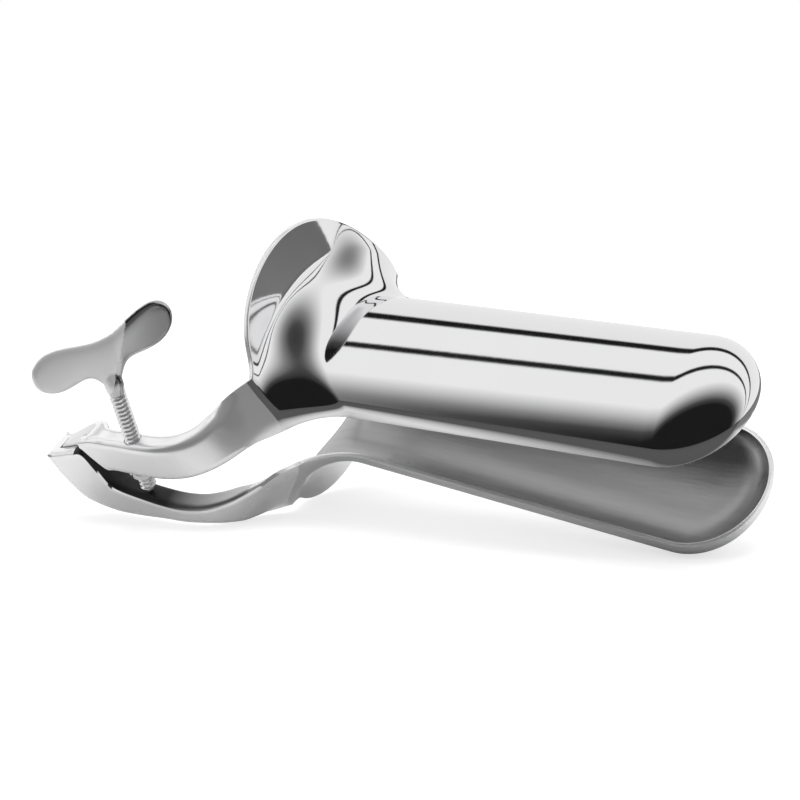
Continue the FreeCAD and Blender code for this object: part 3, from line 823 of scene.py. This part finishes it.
def makeWings():
    bm = bmesh.new()
    stations = wings["stations"]
    rows = [wingRing(bm, -math.cos(math.pi * k / stations)) for k in range(stations + 1)]
    for first, second in zip(rows, rows[1:]):
        for j in range(wings["ring"]):
            n = (j + 1) % wings["ring"]
            bm.faces.new((first[j], first[n], second[n], second[j]))
    bm.faces.new(rows[0])
    bm.faces.new(rows[-1])
    bmesh.ops.recalc_face_normals(bm, faces=bm.faces)
    take(bm, lathe(wings["neck"], 36, Matrix.Identity(4)))
    bm = withModifier(bm, "REMESH", {"mode": "VOXEL", "voxel_size": wings["voxel"], "use_smooth_shade": True})
    for step in range(wings["smoothings"]):
        bmesh.ops.smooth_vert(bm, verts=bm.verts, factor=0.5, use_axis_x=True, use_axis_y=True, use_axis_z=True)
    for face in bm.faces:
        middle = face.calc_center_median()
        past = middle.x - wings["shadeSlant"] * middle.z - wings["crease"]
        face.smooth = True
        # faces past the crease take the darker lobe copy, which is painted shade
        face.material_index = 1 if past > wings["shadePast"] else 0
    swing = Matrix.Rotation(math.radians(wings["azimuth"]), 3, "Z")
    bmesh.ops.rotate(bm, verts=bm.verts, cent=(0, 0, 0), matrix=swing)
    bmesh.ops.translate(bm, verts=bm.verts, vec=(0, 0, screw["top"] + wings["centre"]))
    bmesh.ops.transform(bm, matrix=screwPlace, verts=bm.verts)
    finishPiece(bm, "wings", upperPlace, "screw_wings", [wingSteel, shadedLobeSteel], ["thumb_wings"])


makeWings()


# Floor, world, lamp and camera: reflections see a darker floor and room than the camera does

cameraSeat = {
    "spot": Vector((194.321, -247.668, 276.883)), "right": Vector((0.87271, 0.46880, -0.13637)),
    "up": Vector((-0.23332, 0.64580, 0.72698)), "back": Vector((0.42888, -0.60263, 0.67298)), "lens": 89.14,
}
studio = {"floorSize": 8.0, "floorGlow": 0.66, "floorColour": 0.42, "floorSeen": 0.62, "floorDim": 0.07,
          "dimFrom": 0.012, "dimTo": 0.045, "edgeFrom": 0.13, "edgeTo": 0.19, "edgeDark": 0.85, "fill": 1.0}


def fade(shader, value, start, end):
    return shader.add("MapRange", {"clamp": True}, Value=value, From_Min=start, From_Max=end)


def makeFloor():
    bm = bmesh.new()
    bmesh.ops.create_grid(bm, x_segments=1, y_segments=1, size=studio["floorSize"] / 2)
    mesh = bpy.data.meshes.new("floor")
    bm.to_mesh(mesh)
    bm.free()
    floor = bpy.data.objects.new("floor", mesh)
    scene.collection.objects.link(floor)
    material, shader, out = emptyMaterial("floor white")
    near = shader.add("BsdfDiffuse", Color=grey(studio["floorSeen"]))
    dim = shader.add("BsdfDiffuse", Color=grey(studio["floorDim"]))
    place = shader.add("TexCoord", output=objectPlace)
    x, y, z = shader.axes(place)
    flat = (turnToRow @ cameraSeat["back"]).xy.normalized()
    inFront = fade(shader, x * flat.x + y * flat.y, studio["dimFrom"], studio["dimTo"])
    reach = shader.add("VectorMath", {"operation": "LENGTH"}, output=1, i0=place)
    farOff = fade(shader, reach, studio["edgeFrom"], studio["edgeTo"])
    share = inFront.math("MAXIMUM", farOff * studio["edgeDark"])
    plain = shader.add("MixShader", i0=share, i1=near, i2=dim)
    lit = shader.add("BsdfDiffuse", Color=grey(studio["floorColour"]))
    glow = shader.add("Emission", Color=grey(1), Strength=studio["floorGlow"])
    both = shader.add("AddShader", i0=lit, i1=glow)
    camera, through = shader.rays("Is Camera Ray", "Is Transmission Ray")
    mixed = shader.add("MixShader", i0=camera.math("MAXIMUM", through), i1=plain, i2=both)
    shader.tree.links.new(mixed.link, out.inputs["Surface"])
    mesh.materials.append(material)


makeFloor()

# what reflections see of the room, as places and levels: over the top, and away from the camera
skyBands = [(0.0, 0.93), (0.564, 0.93), (0.571, 0.01), (0.588, 0.01), (0.594, 0.93), (0.692, 0.93), (0.7, 0.01),
            (0.724, 0.01), (0.732, 0.88), (1.0, 0.93)]
roomFade = [(0.0, 1.0), (0.06, 1.0), (0.17, 0.66), (0.286, 0.27), (0.367, 0.07), (0.45, 0.012), (1.0, 0.012)]
roomSkew = 0.12


def makeWorld():
    world = bpy.data.worlds.new("studio")
    world.use_nodes = True
    scene.world = world
    world.node_tree.nodes.clear()
    shader = Shader(world.node_tree)
    out = world.node_tree.nodes.new("ShaderNodeOutputWorld")
    direction = shader.add("TexCoord", output=0)
    flat = (turnToRow @ cameraSeat["back"]).xy.normalized()
    x, y, z = shader.axes(direction)
    ahead = x * flat.x + y * flat.y
    turn = z.math("ARCTAN2", ahead) * (1 / math.pi)     # 0 behind the camera, 0.5 overhead, 1 beyond the object
    bands = shader.add("ValToRGB", {"stops": skyBands}, Fac=turn)
    beside = x * -flat.y + y * flat.x
    room = shader.add("ValToRGB", {"stops": roomFade}, Fac=ahead + beside * roomSkew)
    both = shader.add("MixRGB", {"blend_type": "MULTIPLY"}, Fac=1.0, Color1=bands, Color2=room)
    seen = shader.add("Background", Color=both, Strength=1.0)
    white = shader.add("Background", Color=grey(1), Strength=1.0)
    fill = shader.add("Background", Color=grey(1), Strength=studio["fill"])
    camera, glossy = shader.rays("Is Camera Ray", "Is Glossy Ray")
    first = shader.add("MixShader", i0=glossy, i1=fill, i2=seen)
    both = shader.add("MixShader", i0=camera, i1=first, i2=white)
    shader.tree.links.new(both.link, out.inputs["Surface"])


makeWorld()

topLamp = {"size": 0.7, "power": 4.0, "spot": Vector((0.0, 0.1, 0.8))}


def makeLamp():
    lamp = bpy.data.lights.new("top lamp", "AREA")
    lamp.shape = "SQUARE"
    lamp.size = topLamp["size"]
    lamp.energy = topLamp["power"]
    lampObject = bpy.data.objects.new("top lamp", lamp)
    scene.collection.objects.link(lampObject)
    lampObject.location = topLamp["spot"]
    lampObject.rotation_euler = (-topLamp["spot"]).to_track_quat("-Z", "Y").to_euler()     # aimed at the origin
    lampObject.visible_glossy = False


makeLamp()


def makeCamera():
    camera = bpy.data.cameras.new("camera")
    camera.lens = cameraSeat["lens"]
    camera.sensor_width = 36.0
    camera.clip_start = 0.01
    camera.clip_end = 20.0
    seat = bpy.data.objects.new("camera", camera)
    scene.collection.objects.link(seat)
    axes = [turnToRow @ cameraSeat[name] for name in ("right", "up", "back")]
    turned = Matrix(axes).transposed().to_4x4()
    seat.matrix_world = Matrix.Translation(lowerPlace @ cameraSeat["spot"]) @ turned
    scene.camera = seat


makeCamera()
print("stage and camera set")
